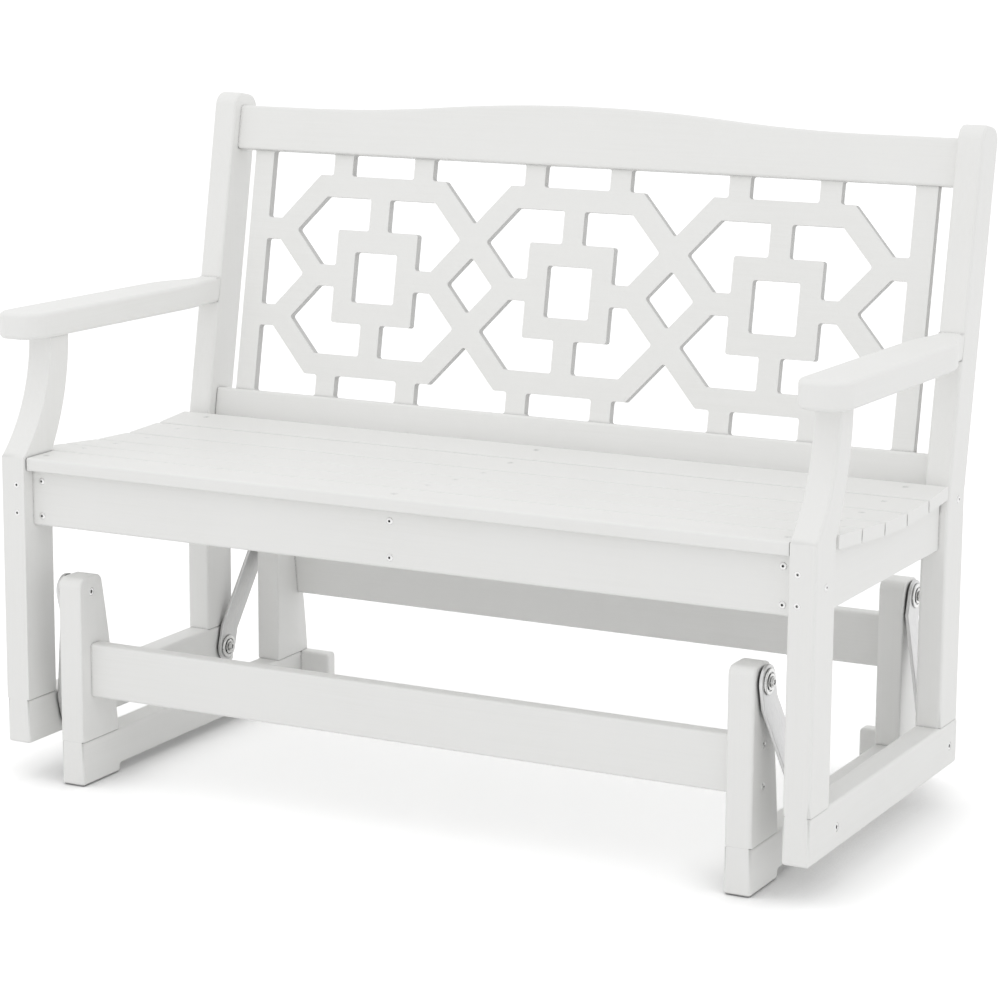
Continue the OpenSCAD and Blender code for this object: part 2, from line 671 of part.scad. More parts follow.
// Fretwork: each opening is drawn by the bars' centre lines and drawn in by half of each bar. A side
// that lies on a rail, given by its number in bare, isn't drawn in.
function unit(a) = a / norm(a);
function line_meet(p, d, q, e) = p + d * cross(q - p, e) / cross(d, e);
function half_bar(i, bare) = i == bare ? 0 : bar_w / 2;
function inset(points, bare) = [
    for (i = [0 : len(points) - 1])
        let (
            n = len(points),
            p = points[i],
            last = (i + n - 1) % n,
            back = unit(p - points[last]),
            ahead = unit(points[(i + 1) % n] - p),
            back_in = half_bar(last, bare) * [-back.y, back.x],
            ahead_in = half_bar(i, bare) * [-ahead.y, ahead.x]
        )
        line_meet(p + back_in, back, p + ahead_in, ahead)
];
corner_steps = 4;
function round_corners(points, r) = [
    for (i = [0 : len(points) - 1])
        let (
            n = len(points),
            p = points[i],
            a = unit(points[(i + n - 1) % n] - p),
            b = unit(points[(i + 1) % n] - p),
            half = acos(a * b) / 2,
            centre = p + unit(a + b) * r / sin(half),
            from = p + a * r / tan(half) - centre,
            to = p + b * r / tan(half) - centre,
            start = atan2(from.y, from.x),
            turn = atan2(cross(from, to), from * to)
        )
        for (k = [0 : corner_steps])
            centre + r * [cos(start + turn * k / corner_steps), sin(start + turn * k / corner_steps)]
];
module opening(points, bare = -1) polygon(round_corners(inset(points, bare), fret_r));

cells = 3;
half_open = back_open_h / 2;
tie_v = half_open - tie_drop;
cell_pitch = 2 / cells * (panel_x - panel_end);
stub_u = stub_share * cell_pitch;
frame_u = frame_share * cell_pitch;
hub_u = hub_share * cell_pitch;
shoulder_u = shoulder_share * cell_pitch;
cross_u = cell_pitch / 2;
stile_u = panel_x - bar_w / 2 - cell_pitch;
shoulder = [shoulder_u, tie_v];
crossing = [cross_u, cross_v];
low_crossing = [cross_u, -cross_v];

// The openings inside a cell: its centre frame, four around it, and one at each rail
module cell_openings() {
    opening([[frame_u, frame_v], [-frame_u, frame_v], [-frame_u, -frame_v], [frame_u, -frame_v]]);
    for (side = [0, 1]) mirror([0, side])
        opening([[stub_u, half_open], [-stub_u, half_open], [-stub_u, tie_v], [stub_u, tie_v]], 0);
    for (x = [0, 1], y = [0, 1]) mirror([x, 0]) mirror([0, y])
        opening([[0, tie_v], [0, frame_v], [frame_u, frame_v], [frame_u, 0], [hub_u, 0], crossing, shoulder]);
}
// The openings between a cell and the next one to the right
module shared_openings() {
    opening([[hub_u, 0], low_crossing, [cell_pitch - hub_u, 0], crossing]);
    next_shoulder = [cell_pitch - shoulder_u, tie_v];
    for (side = [0, 1]) mirror([0, side]) opening([[stub_u, half_open], [stub_u, tie_v], shoulder, crossing,
        next_shoulder, [cell_pitch - stub_u, tie_v], [cell_pitch - stub_u, half_open]], 6);
}
// The openings between the last cell and the panel's side
module end_openings() {
    opening([[hub_u, 0], low_crossing, [stile_u, -cross_v], [stile_u, cross_v], crossing]);
    for (side = [0, 1]) mirror([0, side]) opening([[stub_u, half_open], [stub_u, tie_v], shoulder, crossing,
        [stile_u, cross_v], [stile_u, half_open]], 5);
}
module fretwork() difference() {
    translate([-panel_x, -half_open - groove_d]) square([2 * panel_x, back_open_h + 2 * groove_d]);
    for (cell = [-1, 0, 1]) translate([cell * cell_pitch, 0]) cell_openings();
    for (cell = [-1, 0]) translate([cell * cell_pitch, 0]) shared_openings();
    for (side = [0, 1]) mirror([side, 0]) translate([cell_pitch, 0]) end_openings();
}
module fretwork_panel() color(white)
    to_rake() translate([0, panel_n + panel_t, lower_rail_v + back_rail_h + half_open])
        rotate([90, 0, 0]) linear_extrude(panel_t) fretwork();

// Screws of the bench frame
module frame_screws_right(grow = 0) {
    // Through the legs' front into the side seat rails
    for (v = even_pair) translate([side_rail_x, 0, seat_under + v * apron_h])
        rotate([90, 0, 0]) screw(leg_d + screw_bite, grow);
    // Through the legs' outer face into the apron's ends
    translate([leg_x, apron_set + cross_t / 2, seat_under + apron_h / 2])
        rotate([0, 90, 0]) screw(board_t + screw_bite, grow);
    // Through the posts' rear face into the side seat rails
    for (v = low_pair) translate([side_rail_x, post_y + post_d, seat_under + v * apron_h])
        rotate([-90, 0, 0]) screw(post_d + screw_bite, grow);
    // Through the bearers' inner faces into the side seat rails
    for (w = bearer_shares)
        translate([leg_in_x - bearer_w, leg_d + w * (post_y - leg_d), seat_under + low_share * apron_h])
            rotate([0, -90, 0]) screw(bearer_w + (board_t - side_rail_set) / 2, grow);
    // Through the posts' outer face into the lower back rail's ends
    to_rake() translate([leg_x, rail_n + back_rail_t - end_screw_n, lower_rail_v + end_screw_v])
        rotate([0, 90, 0]) screw(board_t + end_bite, grow);
    // Slanting from behind through the back rails' ends into the posts
    to_rake() for (v = [lower_rail_v, crest_v], w = even_pair)
        translate([leg_in_x - slant_in, rail_n + back_rail_t, v + w * back_rail_h])
            rotate([-90, 0, slant]) slant_screw(grow);
    // Up through the bottom rails into the legs and posts
    for (w = even_pair, y = [w * leg_d, post_y + w * post_d])
        translate([leg_x - board_t / 2, y, 0]) rotate([180, 0, 0]) screw(rail_h + screw_bite, grow);
}
module frame_screws(grow = 0) color(steel) {
    frame_screws_right(grow);
    left() frame_screws_right(grow);
    // Through the apron and the rear seat rail into the bearers
    for (x = [-1, 0, 1] * bearer_x) {
        for (v = apron_pair) translate([x, apron_set, seat_under + v * apron_h])
            rotate([90, 0, 0]) screw(cross_t + screw_bite, grow);
        for (v = low_pair) translate([x, post_y + cross_t, seat_under + v * rear_rail_h])
            rotate([-90, 0, 0]) screw(cross_t + screw_bite, grow);
    }
}

to_part() left() runner();  // left_runner
to_part() runner();  // right_runner
to_part() left() upright(0);  // front_left_upright
to_part() upright(0);  // front_right_upright
to_part() left() upright(upright_pitch);  // rear_left_upright
to_part() upright(upright_pitch);  // rear_right_upright
to_part() front_cross_rail();
to_part() rear_cross_rail();
to_part() left() foot_block();  // left_foot_block
to_part() foot_block();  // right_foot_block
to_part() color(steel) at_upper_pivots() pivot_bolt();  // upper_pivot_bolts
to_part() color(steel) at_upper_pivots() pivot_washers();  // upper_washers
to_part() color(steel) at_upper_pivots() lock_nut();  // upper_lock_nuts
to_part() base_screws();
to_part() left() at_link(false) link_plate();  // front_left_link
to_part() at_link(false) link_plate();  // front_right_link
to_part() left() at_link(true) link_plate();  // rear_left_link
to_part() at_link(true) link_plate();  // rear_right_link
to_part() left() at_link(false) link_bearings(false);  // front_left_bearings
to_part() at_link(false) link_bearings(false);  // front_right_bearings
to_part() left() at_link(true) link_bearings(true);  // rear_left_bearings
to_part() at_link(true) link_bearings(true);  // rear_right_bearings
to_bench() left() bottom_rail();  // left_bottom_rail
to_bench() bottom_rail();  // right_bottom_rail
to_bench() left() front_leg();  // left_front_leg
to_bench() front_leg();  // right_front_leg
to_bench() left() rear_post();  // left_rear_post
to_bench() rear_post();  // right_rear_post
to_bench() left() armrest();  // left_armrest
to_bench() armrest();  // right_armrest
to_bench() front_apron();
to_bench() left() side_seat_rail();  // left_seat_rail
to_bench() side_seat_rail();  // right_seat_rail
to_bench() rear_seat_rail();
to_bench() left() seat_bearer(bearer_x);  // left_seat_bearer
to_bench() seat_bearer(0);  // centre_seat_bearer
to_bench() seat_bearer(bearer_x);  // right_seat_bearer
to_bench() nose_slat();
to_bench() seat_slat(1);  // seat_slat_1
to_bench() seat_slat(2);  // seat_slat_2
to_bench() seat_slat(3);  // seat_slat_3
to_bench() seat_slat(4);  // seat_slat_4
to_bench() seat_slat(5);  // seat_slat_5
to_bench() lower_back_rail();
to_bench() crest_rail();
to_bench() fretwork_panel();
to_bench() color(steel) at_lower_pivots() pivot_bolt();  // lower_pivot_bolts
to_bench() color(steel) at_lower_pivots() pivot_washers();  // lower_washers
to_bench() color(steel) at_lower_pivots() lock_nut();  // lower_lock_nuts
to_bench() slat_screws();
to_bench() frame_screws();
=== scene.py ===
"""A two-seat glider bench of white recycled plastic lumber, dressed round its CAD frame.

Lengths are in metres, and angles in radians."""

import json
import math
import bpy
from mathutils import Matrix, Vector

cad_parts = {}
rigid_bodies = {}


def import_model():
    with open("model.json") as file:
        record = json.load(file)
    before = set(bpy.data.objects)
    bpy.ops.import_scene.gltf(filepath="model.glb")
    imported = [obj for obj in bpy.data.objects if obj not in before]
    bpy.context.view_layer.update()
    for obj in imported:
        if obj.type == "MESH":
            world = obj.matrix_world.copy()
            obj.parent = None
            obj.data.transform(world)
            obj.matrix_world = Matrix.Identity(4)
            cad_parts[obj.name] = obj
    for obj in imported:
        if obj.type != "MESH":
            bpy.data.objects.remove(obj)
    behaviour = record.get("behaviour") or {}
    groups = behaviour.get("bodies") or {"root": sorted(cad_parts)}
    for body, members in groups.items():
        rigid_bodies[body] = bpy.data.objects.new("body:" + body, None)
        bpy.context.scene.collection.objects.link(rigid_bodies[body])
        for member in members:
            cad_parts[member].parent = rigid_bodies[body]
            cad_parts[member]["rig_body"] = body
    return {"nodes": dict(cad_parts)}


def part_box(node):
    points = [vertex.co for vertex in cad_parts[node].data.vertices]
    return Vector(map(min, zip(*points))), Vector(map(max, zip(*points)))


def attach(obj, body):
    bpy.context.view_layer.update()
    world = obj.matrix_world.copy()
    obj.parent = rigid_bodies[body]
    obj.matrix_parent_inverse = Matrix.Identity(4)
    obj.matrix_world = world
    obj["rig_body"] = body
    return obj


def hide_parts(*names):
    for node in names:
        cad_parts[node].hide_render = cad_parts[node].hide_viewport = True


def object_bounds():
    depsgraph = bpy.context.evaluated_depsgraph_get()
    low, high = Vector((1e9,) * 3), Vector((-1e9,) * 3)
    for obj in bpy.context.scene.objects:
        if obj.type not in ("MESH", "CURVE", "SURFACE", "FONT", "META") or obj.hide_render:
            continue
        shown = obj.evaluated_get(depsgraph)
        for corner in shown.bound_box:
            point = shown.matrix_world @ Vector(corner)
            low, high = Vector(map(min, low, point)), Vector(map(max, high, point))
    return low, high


bl_info = {
    "name": "Glider bench",
    "version": (1, 0, 0),
    "blender": (4, 5, 0),
    "location": "3D View > Sidebar > Glider bench",
    "description": "Dresses a slatted glider bench with eased boards, links and turned fasteners",
    "category": "Object",
}

import bmesh
import bpy
import numpy as np
from mathutils import Matrix, Vector

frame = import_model()
NODES = frame["nodes"]
CAD_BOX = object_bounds()
BODY_OF = {name: node["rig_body"] for name, node in NODES.items()}

X, Y, Z = range(3)
ACROSS = Vector((1, 0, 0))
BACKWARDS = Vector((0, 1, 0))
SIDES = {"left": -1, "right": 1}
ENDS = ("front", "rear")

# Corners closer together than this are welded
WELD = 2e-6
# Faces that bend less than this are made one
FLAT_ANGLE = math.radians(0.3)
# Places on a board closer together than this count as one, and those on a fastener
NEAR = 1e-4
CLOSE = 1e-5
# Edges are sharp from these angles: for the router, at a seam and for the shading
ROUTED_ANGLE = math.radians(28)
SEAM_ANGLE = math.radians(60)
SHADED_ANGLE = math.radians(36)
# A rim of a screw hole is smaller than this, and a board's outline larger
LARGEST_RIM = 0.035
# How much further an armrest's corners are drawn in than its front, as a share of the setback
CORNER_SHARE = 1.2
# How far an armrest's end is let into its post, and its leg's top into the armrest
ARM_HOUSING = 0.0085
LEG_HOUSING = 0.003
# The crown of a screw head that stays level with its board
FLUSH = 1e-5
# Half the width of the floor, and how far it lies under the feet so that no faces coincide
FLOOR_HALF = 60
FLOOR_DROP = 0.0004


# Settings


class FinishSettings(bpy.types.PropertyGroup):
    board_colour: bpy.props.FloatVectorProperty(
        name="Lumber colour", description="Colour of the plastic lumber",
        subtype="COLOR", size=3, min=0, max=1, default=(0.885, 0.885, 0.872))
    board_roughness: bpy.props.FloatProperty(
        name="Lumber roughness", description="Roughness of the lumber's skin",
        min=0.1, max=1, default=0.52)
    streak_depth: bpy.props.FloatProperty(
        name="Streak depth", description="Depth of the fine streaks that run along a board",
        min=0, max=0.001, default=0.0003, precision=5, unit="LENGTH")
    # Painted shade: the fretwork's cut walls take a darker copy of the lumber.
    wall_shade: bpy.props.FloatProperty(
        name="Fretwork walls", description="Shade of the fretwork's cut walls beside its faces",
        min=0.3, max=1, default=0.68)
    link_colour: bpy.props.FloatVectorProperty(
        name="Link colour", description="Colour of the links' dull zinc finish",
        subtype="COLOR", size=3, min=0, max=1, default=(0.74, 0.74, 0.735))
    steel_colour: bpy.props.FloatVectorProperty(
        name="Steel colour", description="Colour of the bright fasteners and bearings",
        subtype="COLOR", size=3, min=0, max=1, default=(0.84, 0.84, 0.83))


class EdgeSettings(bpy.types.PropertyGroup):
    board_edge: bpy.props.FloatProperty(
        name="Board edges", description="Rounding along the sawn boards' edges",
        min=0.001, max=0.008, default=0.0045, precision=4, unit="LENGTH")
    panel_edge: bpy.props.FloatProperty(
        name="Fretwork edges", description="Rounding along the fretwork's edges",
        min=0.0005, max=0.004, default=0.0022, precision=4, unit="LENGTH")
    arm_edge: bpy.props.FloatProperty(
        name="Armrest edges", description="Rounding along the armrests' edges",
        min=0.002, max=0.010, default=0.0062, precision=4, unit="LENGTH")
    arm_setback: bpy.props.FloatProperty(
        name="Armrest fronts", description="How far the armrests' front ends are drawn in",
        min=0, max=0.02, default=0.0105, precision=4, unit="LENGTH")
    seam_edge: bpy.props.FloatProperty(
        name="Seams", description="Rounding at the uprights' feet and the back rails' ends",
        min=0.0003, max=0.002, default=0.0011, precision=4, unit="LENGTH")
    link_edge: bpy.props.FloatProperty(
        name="Link edges", description="Rounding along the links' edges",
        min=0.0002, max=0.0015, default=0.0009, precision=4, unit="LENGTH")
    head_crown: bpy.props.FloatProperty(
        name="Screw heads", description="Height of the screw heads' crowns over the boards",
        min=0, max=0.003, default=0.0016, precision=4, unit="LENGTH")


class StageSettings(bpy.types.PropertyGroup):
    floor_shade: bpy.props.FloatProperty(
        name="Floor shade", description="Shade of the studio floor",
        min=0, max=1, default=0.88)
    contact_reach: bpy.props.FloatProperty(
        name="Contact shadow", description="Reach of the darker shadow near the feet",
        min=0.01, max=1, default=0.15, unit="LENGTH")
    floor_lift: bpy.props.FloatProperty(
        name="Floor lift", description="Light added to the floor as the camera sees it",
        min=0, max=1, default=0.35)
    key_power: bpy.props.FloatProperty(
        name="Key lamp", description="Power of the large soft lamp overhead",
        min=0, max=2000, default=5, unit="POWER")
    ambient: bpy.props.FloatProperty(
        name="Ambient light", description="Strength of the light from all round",
        min=0, max=2, default=0.925)


# Shader maths


class Value:
    """A socket that takes part in Python expressions; each operator adds a Math node."""

    def __init__(self, shader, socket):
        self.shader = shader
        self.socket = socket

    def maths(self, operation, *operands):
        inputs = dict(enumerate(operands))
        return self.shader.node("ShaderNodeMath", {"operation": operation}, inputs)

    def __add__(self, other):
        return self.maths("ADD", self, other)

    def __sub__(self, other):
        return self.maths("SUBTRACT", self, other)

    def __rsub__(self, other):
        return self.maths("SUBTRACT", other, self)

    def __mul__(self, other):
        return self.maths("MULTIPLY", self, other)

    __radd__ = __add__
    __rmul__ = __mul__


class Shader:
    """One material or world tree, whose nodes all come from node()."""

    def __init__(self, tree):
        self.tree = tree
        tree.nodes.clear()

    def node(self, kind, settings=None, inputs=None, output=0):
        """One output of a new node: its settings are set first, then its sockets."""
        made = self.tree.nodes.new(kind)
        for key, value in (settings or {}).items():
            if key == "stops":
                ramp = made.color_ramp.elements
                while len(ramp) < len(value):
                    ramp.new(0.5)
                for stop, (place, colour) in zip(ramp, value):
                    stop.position = place
                    stop.color = colour
            else:
                setattr(made, key, value)
        for key, value in (inputs or {}).items():
            socket = made.inputs[key]
            if isinstance(value, Value):
                self.tree.links.new(value.socket, socket)
            else:
                socket.default_value = value
        return Value(self, made.outputs[output]) if len(made.outputs) else None

    def noise(self, place, scale, detail, roughness=0.5):
        """A noise's strength at a place."""
        return self.node("ShaderNodeTexNoise", None, {
            "Vector": place, "Scale": scale, "Detail": detail, "Roughness": roughness})

    def stretched(self, place, factors):
        """A place with its axes scaled, which draws a noise out along the smallest factor."""
        return self.node("ShaderNodeVectorMath", {"operation": "MULTIPLY"}, {0: place, 1: factors})

    def mixed(self, share, first, second):
        """A colour between two; a Mix node takes colours at inputs 6 and 7, and gives output 2."""
        return self.node("ShaderNodeMix", {"data_type": "RGBA"}, {0: share, 6: first, 7: second}, 2)

    def open_share(self, samples, reach, low, high):
        """Nothing where much stands within reach, one in the open: the mask of painted shade and
        painted shadow.
        """
        opened = self.node("ShaderNodeAmbientOcclusion", {"samples": samples},
                           {"Distance": reach}, "AO")
        return self.node("ShaderNodeMapRange", None,
                         {"Value": opened, "From Min": low, "From Max": high})

    def seen_directly(self):
        """One where a ray comes from the camera, off a mirror or through glass, else nothing."""
        rays = ("Is Camera Ray", "Is Glossy Ray", "Is Transmission Ray")
        return sum((self.node("ShaderNodeLightPath", output=ray) for ray in rays), 0.0)


def new_material(name):
    material = bpy.data.materials.new(name)
    material.use_nodes = True
    return material, Shader(material.node_tree)


def grey(shade):
    return (shade, shade, shade, 1.0)


def lumber_material(name, along, shade=1.0):
    """White plastic lumber: a satin skin with faint streaks along the board and fainter clouds.

    Narrow gaps are darkened with painted shade, and a shade under one darkens the whole board, also
    as painted shade."""
    finish = bpy.context.scene.glider_finish
    material, sh = new_material(name)
    place = sh.node("ShaderNodeTexCoord", output="Object")
    drawn = sh.stretched(place, [1.0 if axis == along else 60.0 for axis in (X, Y, Z)])
    streaks = sh.noise(drawn, scale=5.0, detail=5.0, roughness=0.6)
    hair = sh.noise(drawn, scale=24.0, detail=3.0)
    clouds = sh.noise(place, scale=6.0, detail=3.0)
    grain = sh.noise(place, scale=1100.0, detail=2.0)
    r, g, b = (shade * value for value in finish.board_colour)
    colour = sh.node("ShaderNodeValToRGB", {"stops": [
        (0.30, (0.975 * r, 0.975 * g, 0.97 * b, 1)),
        (0.50, (r, g, b, 1)),
        (0.70, (1.012 * r, 1.012 * g, 1.012 * b, 1))]},
        {0: 0.4 * streaks + 0.4 * clouds + 0.2 * hair})
    # Painted shade: the colour falls towards dark grey where other surfaces stand within 8 mm, in
    # gaps and joints.
    clear = sh.open_share(samples=6, reach=0.008, low=0.08, high=0.68)
    colour = sh.mixed(clear, grey(0.2), colour)
    height = 0.5 * streaks + 0.3 * hair + 0.2 * grain
    bump = sh.node("ShaderNodeBump", None,
                   {"Strength": 0.5, "Distance": finish.streak_depth, "Height": height})
    skin = sh.node("ShaderNodeBsdfPrincipled", None, {
        "Base Color": colour,
        "Roughness": finish.board_roughness - 0.06 + 0.12 * streaks,
        "IOR": 1.5,
        "Specular IOR Level": 0.4,
        "Normal": bump})
    sh.node("ShaderNodeOutputMaterial", None, {"Surface": skin})
    return material


def metal_material(name, tint, rough, stretch, mottle_scale, depth):
    """Bare metal with fine drawn marks, a slow mottle and painted shade in its crevices."""
    material, sh = new_material(name)
    place = sh.node("ShaderNodeTexCoord", output="Object")
    marks = sh.noise(sh.stretched(place, stretch), scale=60.0, detail=5.0)
    mottle = sh.noise(place, mottle_scale, detail=3.0)
    r, g, b = tint
    colour = sh.node("ShaderNodeValToRGB", {"stops": [
        (0.3, (0.84 * r, 0.84 * g, 0.85 * b, 1)),
        (0.7, (r, g, b, 1))]},
        {0: 0.5 * marks + 0.5 * mottle})
    # Painted shade: the colour falls towards near black where other surfaces stand within 5 mm, in
    # crevices and drives.
    clear = sh.open_share(samples=6, reach=0.005, low=0.25, high=0.8)
    colour = sh.mixed(clear, grey(0.10), colour)
    bump = sh.node("ShaderNodeBump", None, {"Strength": 0.4, "Distance": depth, "Height": marks})
    skin = sh.node("ShaderNodeBsdfPrincipled", None, {
        "Base Color": colour,
        "Metallic": 1.0,
        "Roughness": rough + 0.18 * mottle,
        "Normal": bump})
    sh.node("ShaderNodeOutputMaterial", None, {"Surface": skin})
    return material


def material_for(slot, along):
    """The finish of one slot, made once; along is the axis of the board's length."""
    name = {"board": "Lumber along " + "XYZ"[along], "link_steel": "Dull steel bar",
            "steel": "Stainless steel"}[slot]
    found = bpy.data.materials.get(name)
    if found:
        return found
    finish = bpy.context.scene.glider_finish
    if slot == "board":
        return lumber_material(name, along)
    if slot == "link_steel":
        return metal_material(name, finish.link_colour, rough=0.34, stretch=(8.0, 8.0, 1.0),
                              mottle_scale=40.0, depth=0.00012)
    return metal_material(name, finish.steel_colour, rough=0.2, stretch=(1.0, 6.0, 6.0),
                          mottle_scale=300.0, depth=0.00006)


# Pieces and their meshes


def finish_board(name, along):
    """Gives a CAD board that stays its lumber."""
    node = NODES[name]
    if not node.data.materials:
        node.data.materials.append(None)
    for material_slot in node.material_slots:
        material_slot.link = "OBJECT"
        material_slot.material = material_for("board", along)


def finished_piece(bm, node, suffix, slot, along=X):
    """Turns a built mesh into a smooth piece that stands for a node and rides on its body."""
    for face in bm.faces:
        face.smooth = True
    name = f"{node}_{suffix}"
    mesh = bpy.data.meshes.new(name)
    bm.to_mesh(mesh)
    bm.free()
    mesh.set_sharp_from_angle(angle=SHADED_ANGLE)
    mesh.materials.clear()
    mesh.materials.append(material_for(slot, along))
    piece = bpy.data.objects.new(name, mesh)
    bpy.context.scene.collection.objects.link(piece)
    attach(piece, BODY_OF[node])
    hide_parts(node)
    weighted = piece.modifiers.new("Flat faces stay flat", "WEIGHTED_NORMAL")
    weighted.keep_sharp = True
    weighted.weight = 100
    return piece


def joined_mesh(node):
    """A node's mesh with its seams welded and its flat faces made whole."""
    bm = bmesh.new()
    bm.from_mesh(NODES[node].data)
    bmesh.ops.remove_doubles(bm, verts=bm.verts, dist=WELD)
    bmesh.ops.dissolve_limit(bm, angle_limit=FLAT_ANGLE, use_dissolve_boundaries=False,
                             verts=bm.verts, edges=bm.edges)
    return bm


def face_direction(node):
    """The direction square to most of a flat node's surface."""
    faces = NODES[node].data.polygons
    normals = np.array([face.normal for face in faces])
    areas = np.array([face.area for face in faces])
    alike = normals @ normals.T > 0.999
    return Vector(normals[(alike @ areas).argmax()])


# Eased boards


def within(*limits):
    """A test for edges that lie wholly between limits, each an axis, a low and a high value."""
    return lambda edge: all(low <= v.co[axis] <= high
                            for v in edge.verts for axis, low, high in limits)


def at(axis, value):
    """The limits of the plane at a value on an axis."""
    return axis, value - NEAR, value + NEAR


def linked_groups(members, neighbours):
    """Splits members into groups, each joined through neighbours."""
    left = set(members)
    for first in members:
        if first not in left:
            continue
        left.discard(first)
        group, queue = [], [first]
        while queue:
            member = queue.pop()
            group.append(member)
            for other in neighbours(member):
                if other in left:
                    left.discard(other)
                    queue.append(other)
        yield group


def outline_edges(bm, across, ends, joints):
    """The sharp edges that a router would ease: no rims of holes, no grooves and no joints."""
    sharp = [e for e in bm.edges
             if len(e.link_faces) == 2 and e.calc_face_angle(0) > ROUTED_ANGLE]
    chosen = []
    for chain in linked_groups(sharp, lambda e: (o for v in e.verts for o in v.link_edges)):
        points = np.array([v.co for e in chain for v in e.verts])
        if np.linalg.norm(np.ptp(points, axis=0)) > LARGEST_RIM:
            chosen += [e for e in chain if not any(joint(e) for joint in joints)]
    if across is None:
        return chosen
    depths = [across.dot(v.co) for v in bm.verts]
    low, high = min(depths), max(depths)

    def is_routed(edge):
        a, b = (across.dot(v.co) for v in edge.verts)
        on_face = any(max(abs(a - face), abs(b - face)) < NEAR for face in (low, high))
        return on_face or (ends and abs(abs(a - b) - (high - low)) < NEAR)

    return [edge for edge in chosen if is_routed(edge)]


def draw_in_front(bm, square, setback):
    """Draws a board's front end in along its faces, most at its corners, over its front half."""
    front = min(v.co.y for v in bm.verts)
    reach = (max(v.co.y for v in bm.verts) - front) / 2
    sides = [v.co.x for v in bm.verts if v.co.y < front + reach]
    middle, half = (max(sides) + min(sides)) / 2, (max(sides) - min(sides)) / 2
    for vertex in bm.verts:
        off_middle = abs(vertex.co.x - middle) / half
        fade = max(0.0, 1 - (vertex.co.y - front) / reach)
        shift = setback * (1 + CORNER_SHARE * off_middle ** 4) * fade
        vertex.co += Vector((0, shift, -shift * square.y / square.z))


def eased_piece(node, width, slot="board", along=X, across=None, ends=False, joints=(), segments=3,
                clamp=True, seam=0.0, setback=0.0):
    """Replaces a node by its own shape with the outline rounded by width, and the joints by seam.

    With across, only edges on the faces square to it are rounded, and with ends those between
    these faces too. setback draws the front end in."""
    bm = joined_mesh(node)
    if setback:
        draw_in_front(bm, across, setback)
    edges = outline_edges(bm, across, ends, joints)
    if not edges:
        raise RuntimeError(f"{node} has no edges to ease")
    bmesh.ops.bevel(bm, geom=edges, offset=width, offset_type="OFFSET", segments=segments,
                    profile=0.5, affect="EDGES", clamp_overlap=clamp)
    if seam:
        rims = [e for e in bm.edges
                if any(joint(e) for joint in joints) and e.calc_face_angle(0) > SEAM_ANGLE]
        bmesh.ops.bevel(bm, geom=rims, offset=seam, offset_type="OFFSET", segments=1,
                        profile=0.5, affect="EDGES", clamp_overlap=True)
    return finished_piece(bm, node, "eased", slot, along)


# Turned fasteners: each stands on Z, with its wide end at z = 0 and its body below. Its profile
# comes from its length, its greatest radius, its bore's radius and its crown.


def loose_parts(node):
    """The corners of each loose part of a node."""
    bm = joined_mesh(node)
    groups = linked_groups(list(bm.verts), lambda v: (e.other_vert(v) for e in v.link_edges))
    parts = [np.array([v.co for v in group]) for group in groups]
    bm.free()
    return parts


def seat_of(points):
    """Where a turned part stands, its length, its greatest radius and its bore's radius."""
    middle = points.mean(axis=0)
    _, spread, axes = np.linalg.svd(points - middle, full_matrices=False)
    is_long = spread[0] - spread[1] > spread[1] - spread[2]
    axis = axes[0] if is_long else axes[2]
    height = (points - middle) @ axis
    radius = np.linalg.norm(points - middle - np.outer(height, axis), axis=1)
    top = radius[height > height.max() - CLOSE].max()
    bottom = radius[height < height.min() + CLOSE].max()
    if bottom > top + CLOSE:
        axis, height = -axis, -height
    origin = Vector(middle + axis * height.max())
    turn = Vector((0, 0, 1)).rotation_difference(Vector(axis)).to_matrix().to_4x4()
    length, widest, bore = (float(value) for value in (np.ptp(height), radius.max(), radius.min()))
    return Matrix.Translation(origin) @ turn, length, widest, bore


def lathe(bm, place, rings, sides, closed):
    """Skins rings of a height and a radius, which may be a function of the angle."""
    loops = []
    for height, radius in rings:
        if radius == 0:
            loops.append([bm.verts.new(place @ Vector((0, 0, height)))] * sides)
            continue
        loop = []
        for i in range(sides):
            angle = 2 * math.pi * i / sides
            r = radius(angle) if callable(radius) else radius
            corner = Vector((r * math.cos(angle), r * math.sin(angle), height))
            loop.append(bm.verts.new(place @ corner))
        loops.append(loop)
    for low, high in zip(loops, loops[1:] + (loops[:1] if closed else [])):
        for i in range(sides):
            j = (i + 1) % sides
            bm.faces.new(list(dict.fromkeys((low[i], low[j], high[j], high[i]))))


def star(radius):
    """A six-lobed drive."""
    return lambda angle: radius * (1 + 0.16 * math.cos(6 * angle))


def hexagon(radius, widest=1.0):
    """A hexagon by its inner radius, cut off by a circle."""
    step = math.pi / 3
    return lambda angle: min(radius / math.cos((angle + step / 2) % step - step / 2), widest)


def screw_rings(length, r, bore, crown):
    """A screw with a star drive, deep where it has a crown, in a dome where that stands proud."""
    shank = 0.5 * r
    rim = 1.15 * r if crown > FLUSH else r
    deep = -0.0021 if crown else -0.0006
    return [(deep, 0), (deep + 0.0002, star(0.30 * r)), (crown - 0.0003, star(0.34 * r)),
            (crown, star(0.40 * r)), (0.93 * crown, 0.62 * rim), (0.72 * crown, 0.82 * rim),
            (0.38 * crown, 0.95 * rim), (0, rim), (-0.0002, r), (-0.0009, 0.98 * r),
            (-0.0022, 0.58 * r), (-0.0045, shank), (0.006 - length, shank),
            (0.002 - length, 0.6 * shank), (-length, 0)]


def bolt_rings(length, r, bore, crown):
    """A bolt with a hexagon socket in its sunk head, whose end stays inside the nut's collar."""
    shank = 0.0030
    return [(-0.0022, 0), (-0.0021, hexagon(0.0024)), (-0.0003, hexagon(0.0025)),
            (-0.0001, hexagon(0.0028)), (-0.0001, 0.88 * r), (-0.0003, 0.96 * r), (-0.0008, r),
            (-0.0032, r), (-0.0035, 0.97 * r), (-0.0035, shank), (0.0023 - length, shank),
            (0.0019 - length, 0.8 * shank), (0.0019 - length, 0)]


